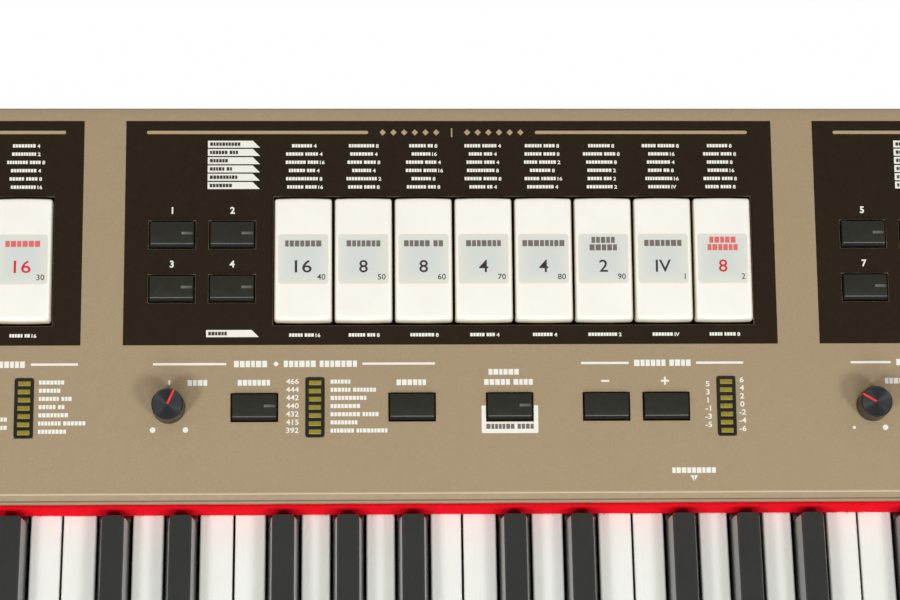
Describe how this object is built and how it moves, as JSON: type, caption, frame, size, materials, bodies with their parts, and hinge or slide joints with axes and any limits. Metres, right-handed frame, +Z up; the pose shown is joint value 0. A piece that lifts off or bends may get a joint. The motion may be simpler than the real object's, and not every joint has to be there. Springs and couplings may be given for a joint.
{
  "type": "electronic organ",
  "caption": "Table-top electronic organ: one manual, rocker tablets, push buttons, knobs and light bars on a sloping panel.",
  "frame": {"origin": "on the table under the middle of the case, halfway between its front and rear faces", "axes": "+X to the player's right along the keyboard, +Y away from the player, +Z up"},
  "size_m": [0.909, 0.339, 0.1201],
  "materials": {
    "case_board": "dark stained board",
    "case_paint": "satin dark brown paint",
    "panel_paint": "satin tan metallic paint with a fine grain",
    "felt": "red wool felt",
    "white_key": "ivory white, satin gloss",
    "black_key": "black, satin",
    "tablet": "warm white, satin gloss",
    "button": "dark grey, satin",
    "knob": "dark grey with a spun metal top",
    "frame_metal": "plain",
    "circuit_board": "green solder mask",
    "socket_plastic": "black",
    "rubber": "matt black"
  },
  "bodies": {
    "root": {"bottom_board": "case_board", "foot_front_left": "rubber", "foot_front_right": "rubber", "foot_rear_left": "rubber", "foot_rear_right": "rubber", "left_end_block": "case_paint", "right_end_block": "case_paint", "key_slip": "case_paint", "rear_panel": "case_paint", "socket_board": "socket_plastic", "key_frame": "frame_metal", "contact_board": "circuit_board", "key_felt": "felt", "top_panel": "panel_paint", "control_board": "circuit_board", "tablet_board": "circuit_board", "main_board": "circuit_board"},
    "white_keys_1": {"white_keys_1": "white_key"},
    "black_keys_1": {"black_keys_1": "black_key"},
    "white_keys_2": {"white_keys_2": "white_key"},
    "black_keys_2": {"black_keys_2": "black_key"},
    "white_keys_3": {"white_keys_3": "white_key"},
    "black_keys_3": {"black_keys_3": "black_key"},
    "white_keys_4": {"white_keys_4": "white_key"},
    "black_keys_4": {"black_keys_4": "black_key"},
    "white_keys_5": {"white_keys_5": "white_key"},
    "black_keys_5": {"black_keys_5": "black_key"},
    "tablet_10": {"tablet_10": "tablet"},
    "tablet_20": {"tablet_20": "tablet"},
    "tablet_30": {"tablet_30": "tablet"},
    "tablet_40": {"tablet_40": "tablet"},
    "tablet_50": {"tablet_50": "tablet"},
    "tablet_60": {"tablet_60": "tablet"},
    "tablet_70": {"tablet_70": "tablet"},
    "tablet_80": {"tablet_80": "tablet"},
    "tablet_90": {"tablet_90": "tablet"},
    "tablet_1": {"tablet_1": "tablet"},
    "tablet_2": {"tablet_2": "tablet"},
    "tablet_3": {"tablet_3": "tablet"},
    "tablet_4": {"tablet_4": "tablet"},
    "tablet_5": {"tablet_5": "tablet"},
    "tablet_6": {"tablet_6": "tablet"},
    "tablet_7": {"tablet_7": "tablet"},
    "tablet_8": {"tablet_8": "tablet"},
    "tablet_9": {"tablet_9": "tablet"},
    "voice_button_1": {"voice_button_1": "button"},
    "voice_button_2": {"voice_button_2": "button"},
    "voice_button_3": {"voice_button_3": "button"},
    "voice_button_4": {"voice_button_4": "button"},
    "voice_button_5": {"voice_button_5": "button"},
    "voice_button_6": {"voice_button_6": "button"},
    "voice_button_7": {"voice_button_7": "button"},
    "voice_button_8": {"voice_button_8": "button"},
    "temperament_button": {"temperament_button": "button"},
    "scale_button": {"scale_button": "button"},
    "enhancer_button": {"enhancer_button": "button"},
    "transpose_down_button": {"transpose_down_button": "button"},
    "transpose_up_button": {"transpose_up_button": "button"},
    "tuning_knob": {"tuning_knob": "knob"},
    "depth_knob": {"depth_knob": "knob"}
  },
  "joints": [
    {"name": "white_keys_1_pivot", "type": "hinge", "parent": "root", "child": "white_keys_1", "pos_m": [0, 0.06147, 0.066], "axis": [1, 0, 0], "range_deg": [0, 2.8], "stiffness_Nm_per_rad": 6, "springref_deg": -8.59},
    {"name": "black_keys_1_pivot", "type": "hinge", "parent": "root", "child": "black_keys_1", "pos_m": [0, 0.06147, 0.066], "axis": [1, 0, 0], "range_deg": [0, 2.8], "stiffness_Nm_per_rad": 4, "springref_deg": -6.88},
    {"name": "white_keys_2_pivot", "type": "hinge", "parent": "root", "child": "white_keys_2", "pos_m": [0, 0.06147, 0.066], "axis": [1, 0, 0], "range_deg": [0, 2.8], "stiffness_Nm_per_rad": 6, "springref_deg": -8.59},
    {"name": "black_keys_2_pivot", "type": "hinge", "parent": "root", "child": "black_keys_2", "pos_m": [0, 0.06147, 0.066], "axis": [1, 0, 0], "range_deg": [0, 2.8], "stiffness_Nm_per_rad": 4, "springref_deg": -6.88},
    {"name": "white_keys_3_pivot", "type": "hinge", "parent": "root", "child": "white_keys_3", "pos_m": [0, 0.06147, 0.066], "axis": [1, 0, 0], "range_deg": [0, 2.8], "stiffness_Nm_per_rad": 6, "springref_deg": -8.59},
    {"name": "black_keys_3_pivot", "type": "hinge", "parent": "root", "child": "black_keys_3", "pos_m": [0, 0.06147, 0.066], "axis": [1, 0, 0], "range_deg": [0, 2.8], "stiffness_Nm_per_rad": 4, "springref_deg": -6.88},
    {"name": "white_keys_4_pivot", "type": "hinge", "parent": "root", "child": "white_keys_4", "pos_m": [0, 0.06147, 0.066], "axis": [1, 0, 0], "range_deg": [0, 2.8], "stiffness_Nm_per_rad": 6, "springref_deg": -8.59},
    {"name": "black_keys_4_pivot", "type": "hinge", "parent": "root", "child": "black_keys_4", "pos_m": [0, 0.06147, 0.066], "axis": [1, 0, 0], "range_deg": [0, 2.8], "stiffness_Nm_per_rad": 4, "springref_deg": -6.88},
    {"name": "white_keys_5_pivot", "type": "hinge", "parent": "root", "child": "white_keys_5", "pos_m": [0, 0.06147, 0.066], "axis": [1, 0, 0], "range_deg": [0, 2.8], "stiffness_Nm_per_rad": 6, "springref_deg": -8.59},
    {"name": "black_keys_5_pivot", "type": "hinge", "parent": "root", "child": "black_keys_5", "pos_m": [0, 0.06147, 0.066], "axis": [1, 0, 0], "range_deg": [0, 2.8], "stiffness_Nm_per_rad": 4, "springref_deg": -6.88},
    {"name": "tablet_10_rock", "type": "hinge", "parent": "root", "child": "tablet_10", "pos_m": [-0.32562, 0.10506, 0.10147], "axis": [1, 0, 0], "range_deg": [-2.5, 2.5], "stiffness_Nm_per_rad": 0.15},
    {"name": "tablet_20_rock", "type": "hinge", "parent": "root", "child": "tablet_20", "pos_m": [-0.30062, 0.10506, 0.10147], "axis": [1, 0, 0], "range_deg": [-2.5, 2.5], "stiffness_Nm_per_rad": 0.15},
    {"name": "tablet_30_rock", "type": "hinge", "parent": "root", "child": "tablet_30", "pos_m": [-0.27563, 0.10506, 0.10147], "axis": [1, 0, 0], "range_deg": [-2.5, 2.5], "stiffness_Nm_per_rad": 0.15},
    {"name": "tablet_40_rock", "type": "hinge", "parent": "root", "child": "tablet_40", "pos_m": [-0.15953, 0.10506, 0.10147], "axis": [1, 0, 0], "range_deg": [-2.5, 2.5], "stiffness_Nm_per_rad": 0.15},
    {"name": "tablet_50_rock", "type": "hinge", "parent": "root", "child": "tablet_50", "pos_m": [-0.13453, 0.10506, 0.10147], "axis": [1, 0, 0], "range_deg": [-2.5, 2.5], "stiffness_Nm_per_rad": 0.15},
    {"name": "tablet_60_rock", "type": "hinge", "parent": "root", "child": "tablet_60", "pos_m": [-0.10952, 0.10506, 0.10147], "axis": [1, 0, 0], "range_deg": [-2.5, 2.5], "stiffness_Nm_per_rad": 0.15},
    {"name": "tablet_70_rock", "type": "hinge", "parent": "root", "child": "tablet_70", "pos_m": [-0.08453, 0.10506, 0.10147], "axis": [1, 0, 0], "range_deg": [-2.5, 2.5], "stiffness_Nm_per_rad": 0.15},
    {"name": "tablet_80_rock", "type": "hinge", "parent": "root", "child": "tablet_80", "pos_m": [-0.05953, 0.10506, 0.10147], "axis": [1, 0, 0], "range_deg": [-2.5, 2.5], "stiffness_Nm_per_rad": 0.15},
    {"name": "tablet_90_rock", "type": "hinge", "parent": "root", "child": "tablet_90", "pos_m": [-0.03453, 0.10506, 0.10147], "axis": [1, 0, 0], "range_deg": [-2.5, 2.5], "stiffness_Nm_per_rad": 0.15},
    {"name": "tablet_1_rock", "type": "hinge", "parent": "root", "child": "tablet_1", "pos_m": [-0.00953, 0.10506, 0.10147], "axis": [1, 0, 0], "range_deg": [-2.5, 2.5], "stiffness_Nm_per_rad": 0.15},
    {"name": "tablet_2_rock", "type": "hinge", "parent": "root", "child": "tablet_2", "pos_m": [0.01547, 0.10506, 0.10147], "axis": [1, 0, 0], "range_deg": [-2.5, 2.5], "stiffness_Nm_per_rad": 0.15},
    {"name": "tablet_3_rock", "type": "hinge", "parent": "root", "child": "tablet_3", "pos_m": [0.12978, 0.10506, 0.10147], "axis": [1, 0, 0], "range_deg": [-2.5, 2.5], "stiffness_Nm_per_rad": 0.15},
    {"name": "tablet_4_rock", "type": "hinge", "parent": "root", "child": "tablet_4", "pos_m": [0.15477, 0.10506, 0.10147], "axis": [1, 0, 0], "range_deg": [-2.5, 2.5], "stiffness_Nm_per_rad": 0.15},
    {"name": "tablet_5_rock", "type": "hinge", "parent": "root", "child": "tablet_5", "pos_m": [0.17977, 0.10506, 0.10147], "axis": [1, 0, 0], "range_deg": [-2.5, 2.5], "stiffness_Nm_per_rad": 0.15},
    {"name": "tablet_6_rock", "type": "hinge", "parent": "root", "child": "tablet_6", "pos_m": [0.20478, 0.10506, 0.10147], "axis": [1, 0, 0], "range_deg": [-2.5, 2.5], "stiffness_Nm_per_rad": 0.15},
    {"name": "tablet_7_rock", "type": "hinge", "parent": "root", "child": "tablet_7", "pos_m": [0.22978, 0.10506, 0.10147], "axis": [1, 0, 0], "range_deg": [-2.5, 2.5], "stiffness_Nm_per_rad": 0.15},
    {"name": "tablet_8_rock", "type": "hinge", "parent": "root", "child": "tablet_8", "pos_m": [0.25477, 0.10506, 0.10147], "axis": [1, 0, 0], "range_deg": [-2.5, 2.5], "stiffness_Nm_per_rad": 0.15},
    {"name": "tablet_9_rock", "type": "hinge", "parent": "root", "child": "tablet_9", "pos_m": [0.27977, 0.10506, 0.10147], "axis": [1, 0, 0], "range_deg": [-2.5, 2.5], "stiffness_Nm_per_rad": 0.15},
    {"name": "voice_button_1_press", "type": "slide", "parent": "root", "child": "voice_button_1", "axis": [0, -0.1537, 0.9881], "range_m": [-0.001, 0], "stiffness_N_per_m": 400, "springref_m": 0.001},
    {"name": "voice_button_2_press", "type": "slide", "parent": "root", "child": "voice_button_2", "axis": [0, -0.1537, 0.9881], "range_m": [-0.001, 0], "stiffness_N_per_m": 400, "springref_m": 0.001},
    {"name": "voice_button_3_press", "type": "slide", "parent": "root", "child": "voice_button_3", "axis": [0, -0.1537, 0.9881], "range_m": [-0.001, 0], "stiffness_N_per_m": 400, "springref_m": 0.001},
    {"name": "voice_button_4_press", "type": "slide", "parent": "root", "child": "voice_button_4", "axis": [0, -0.1537, 0.9881], "range_m": [-0.001, 0], "stiffness_N_per_m": 400, "springref_m": 0.001},
    {"name": "voice_button_5_press", "type": "slide", "parent": "root", "child": "voice_button_5", "axis": [0, -0.1537, 0.9881], "range_m": [-0.001, 0], "stiffness_N_per_m": 400, "springref_m": 0.001},
    {"name": "voice_button_6_press", "type": "slide", "parent": "root", "child": "voice_button_6", "axis": [0, -0.1537, 0.9881], "range_m": [-0.001, 0], "stiffness_N_per_m": 400, "springref_m": 0.001},
    {"name": "voice_button_7_press", "type": "slide", "parent": "root", "child": "voice_button_7", "axis": [0, -0.1537, 0.9881], "range_m": [-0.001, 0], "stiffness_N_per_m": 400, "springref_m": 0.001},
    {"name": "voice_button_8_press", "type": "slide", "parent": "root", "child": "voice_button_8", "axis": [0, -0.1537, 0.9881], "range_m": [-0.001, 0], "stiffness_N_per_m": 400, "springref_m": 0.001},
    {"name": "temperament_button_press", "type": "slide", "parent": "root", "child": "temperament_button", "axis": [0, -0.1537, 0.9881], "range_m": [-0.001, 0], "stiffness_N_per_m": 400, "springref_m": 0.001},
    {"name": "scale_button_press", "type": "slide", "parent": "root", "child": "scale_button", "axis": [0, -0.1537, 0.9881], "range_m": [-0.001, 0], "stiffness_N_per_m": 400, "springref_m": 0.001},
    {"name": "enhancer_button_press", "type": "slide", "parent": "root", "child": "enhancer_button", "axis": [0, -0.1537, 0.9881], "range_m": [-0.001, 0], "stiffness_N_per_m": 400, "springref_m": 0.001},
    {"name": "transpose_down_button_press", "type": "slide", "parent": "root", "child": "transpose_down_button", "axis": [0, -0.1537, 0.9881], "range_m": [-0.001, 0], "stiffness_N_per_m": 400, "springref_m": 0.001},
    {"name": "transpose_up_button_press", "type": "slide", "parent": "root", "child": "transpose_up_button", "axis": [0, -0.1537, 0.9881], "range_m": [-0.001, 0], "stiffness_N_per_m": 400, "springref_m": 0.001},
    {"name": "tuning_knob_turn", "type": "hinge", "parent": "root", "child": "tuning_knob", "pos_m": [-0.2145, 0.04315, 0.09741], "axis": [0, -0.1537, 0.9881], "range_deg": [-125, 175]},
    {"name": "depth_knob_turn", "type": "hinge", "parent": "root", "child": "depth_knob", "pos_m": [0.0761, 0.04315, 0.09741], "axis": [0, -0.1537, 0.9881], "range_deg": [-210, 90]}
  ]
}
